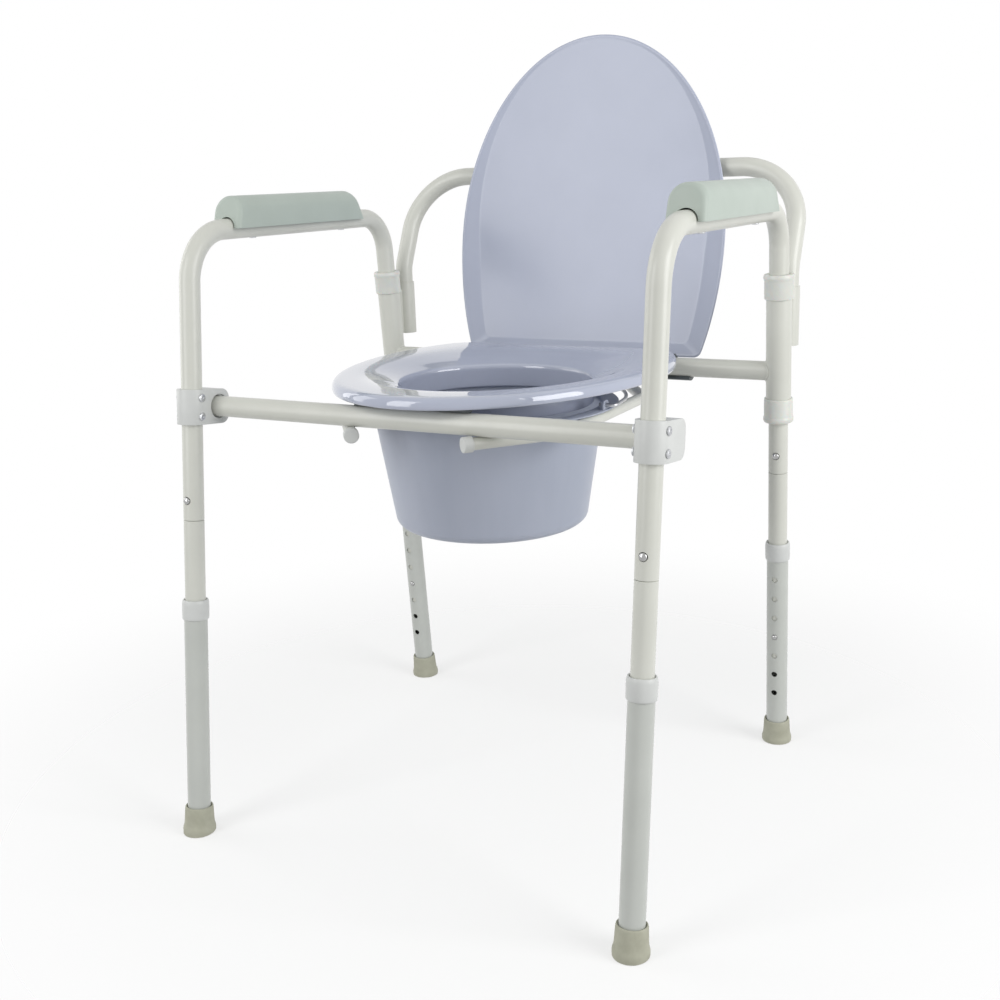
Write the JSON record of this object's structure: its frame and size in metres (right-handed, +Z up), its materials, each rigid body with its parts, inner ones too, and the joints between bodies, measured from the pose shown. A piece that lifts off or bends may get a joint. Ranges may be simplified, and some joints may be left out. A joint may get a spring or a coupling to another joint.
{
  "type": "commode chair",
  "caption": "Steel commode chair with padded armrests, a hinged toilet seat and lid, a bucket hung on rails, a backrest bar and height-adjustable telescopic legs",
  "frame": {"origin": "on the floor, under the middle of the chair's outline", "axes": "+X to the right as seen from the front, +Y to the back, +Z up"},
  "size_m": [0.566, 0.5726, 0.8707],
  "materials": {
    "powder_coat": "satin off-white powder coat",
    "leg_coat": "satin pale grey powder coat",
    "nylon": "light grey moulded nylon",
    "pad_plastic": "pale grey-green moulded plastic",
    "seat_plastic": "glossy lavender-grey moulded plastic",
    "bucket_plastic": "satin lavender-grey moulded plastic",
    "clip_nylon": "dark grey moulded nylon",
    "tip_rubber": "beige-grey rubber",
    "chrome": "polished chrome plate",
    "zinc": "zinc plate"
  },
  "bodies": {
    "frame": {"back_frame": "powder_coat", "backrest_bar": "powder_coat", "front_bar": "powder_coat", "front_left_leg_insert": "powder_coat", "front_right_leg_insert": "powder_coat", "left_arm_pad": "pad_plastic", "left_arm_tube": "powder_coat", "left_bucket_rail": "powder_coat", "left_front_bracket": "nylon", "left_front_pad_screw": "zinc", "left_front_rail_cap": "nylon", "left_lower_bracket_rivet": "zinc", "left_lower_sleeve_bush": "nylon", "left_rear_pad_screw": "zinc", "left_rear_rail_cap": "nylon", "left_upper_bracket_rivet": "zinc", "left_upper_sleeve_bush": "nylon", "rear_left_leg_insert": "powder_coat", "rear_right_leg_insert": "powder_coat", "right_arm_pad": "pad_plastic", "right_arm_tube": "powder_coat", "right_bucket_rail": "powder_coat", "right_front_bracket": "nylon", "right_front_pad_screw": "zinc", "right_front_rail_cap": "nylon", "right_lower_bracket_rivet": "zinc", "right_lower_sleeve_bush": "nylon", "right_rear_pad_screw": "zinc", "right_rear_rail_cap": "nylon", "right_upper_bracket_rivet": "zinc", "right_upper_sleeve_bush": "nylon"},
    "front_left_leg": {"front_left_lower_leg": "leg_coat", "front_left_leg_collar": "nylon", "front_left_rubber_tip": "tip_rubber"},
    "front_left_frame_button": {"front_left_frame_button": "chrome"},
    "front_left_height_button": {"front_left_height_button": "chrome"},
    "rear_left_leg": {"rear_left_lower_leg": "leg_coat", "rear_left_leg_collar": "nylon", "rear_left_rubber_tip": "tip_rubber"},
    "rear_left_frame_button": {"rear_left_frame_button": "chrome"},
    "rear_left_height_button": {"rear_left_height_button": "chrome"},
    "front_right_leg": {"front_right_lower_leg": "leg_coat", "front_right_leg_collar": "nylon", "front_right_rubber_tip": "tip_rubber"},
    "front_right_frame_button": {"front_right_frame_button": "chrome"},
    "front_right_height_button": {"front_right_height_button": "chrome"},
    "rear_right_leg": {"rear_right_lower_leg": "leg_coat", "rear_right_leg_collar": "nylon", "rear_right_rubber_tip": "tip_rubber"},
    "rear_right_frame_button": {"rear_right_frame_button": "chrome"},
    "rear_right_height_button": {"rear_right_height_button": "chrome"},
    "seat": {"seat_ring": "seat_plastic", "left_hinge_clip": "clip_nylon", "right_hinge_clip": "clip_nylon", "left_seat_bumper": "clip_nylon", "right_seat_bumper": "clip_nylon"},
    "lid": {"lid": "seat_plastic"},
    "bucket": {"bucket": "bucket_plastic"},
    "handle": {"bucket_handle": "zinc"}
  },
  "joints": [
    {"name": "seat_hinge", "type": "hinge", "parent": "frame", "child": "seat", "pos_m": [0, 0.1864, 0.478], "axis": [-1, 0, 0], "range_deg": [0, 97]},
    {"name": "lid_hinge", "type": "hinge", "parent": "frame", "child": "lid", "pos_m": [0, 0.1864, 0.478], "axis": [-1, 0, 0], "range_deg": [-99.6, 0]},
    {"name": "bucket_lift", "type": "slide", "parent": "frame", "child": "bucket", "axis": [0, 0, 1], "range_m": [0, 0.012]},
    {"name": "handle_swing", "type": "hinge", "parent": "bucket", "child": "handle", "pos_m": [0, -0.03, 0.4706], "axis": [1, 0, 0], "range_deg": [0, 5]},
    {"name": "front_left_leg_slide", "type": "slide", "parent": "frame", "child": "front_left_leg", "axis": [0, -0.1167, -0.9932], "range_m": [-0.0762, 0.0762]},
    {"name": "front_left_height_button_press", "type": "slide", "parent": "frame", "child": "front_left_height_button", "axis": [0, -0.9932, 0.1167], "range_m": [0, 0.004], "stiffness_N_per_m": 1500},
    {"name": "front_left_frame_button_press", "type": "slide", "parent": "frame", "child": "front_left_frame_button", "axis": [0, 0.9932, -0.1167], "range_m": [0, 0.0035], "stiffness_N_per_m": 2000},
    {"name": "rear_left_leg_slide", "type": "slide", "parent": "frame", "child": "rear_left_leg", "axis": [0, 0.0732, -0.9973], "range_m": [-0.0762, 0.0762]},
    {"name": "rear_left_height_button_press", "type": "slide", "parent": "frame", "child": "rear_left_height_button", "axis": [0, 0.9973, 0.0732], "range_m": [0, 0.004], "stiffness_N_per_m": 1500},
    {"name": "rear_left_frame_button_press", "type": "slide", "parent": "frame", "child": "rear_left_frame_button", "axis": [0, 0.9973, 0.0732], "range_m": [0, 0.0035], "stiffness_N_per_m": 2000},
    {"name": "front_right_leg_slide", "type": "slide", "parent": "frame", "child": "front_right_leg", "axis": [0, -0.1167, -0.9932], "range_m": [-0.0762, 0.0762]},
    {"name": "front_right_height_button_press", "type": "slide", "parent": "frame", "child": "front_right_height_button", "axis": [0, -0.9932, 0.1167], "range_m": [0, 0.004], "stiffness_N_per_m": 1500},
    {"name": "front_right_frame_button_press", "type": "slide", "parent": "frame", "child": "front_right_frame_button", "axis": [0, 0.9932, -0.1167], "range_m": [0, 0.0035], "stiffness_N_per_m": 2000},
    {"name": "rear_right_leg_slide", "type": "slide", "parent": "frame", "child": "rear_right_leg", "axis": [0, 0.0732, -0.9973], "range_m": [-0.0762, 0.0762]},
    {"name": "rear_right_height_button_press", "type": "slide", "parent": "frame", "child": "rear_right_height_button", "axis": [0, 0.9973, 0.0732], "range_m": [0, 0.004], "stiffness_N_per_m": 1500},
    {"name": "rear_right_frame_button_press", "type": "slide", "parent": "frame", "child": "rear_right_frame_button", "axis": [0, 0.9973, 0.0732], "range_m": [0, 0.0035], "stiffness_N_per_m": 2000}
  ]
}
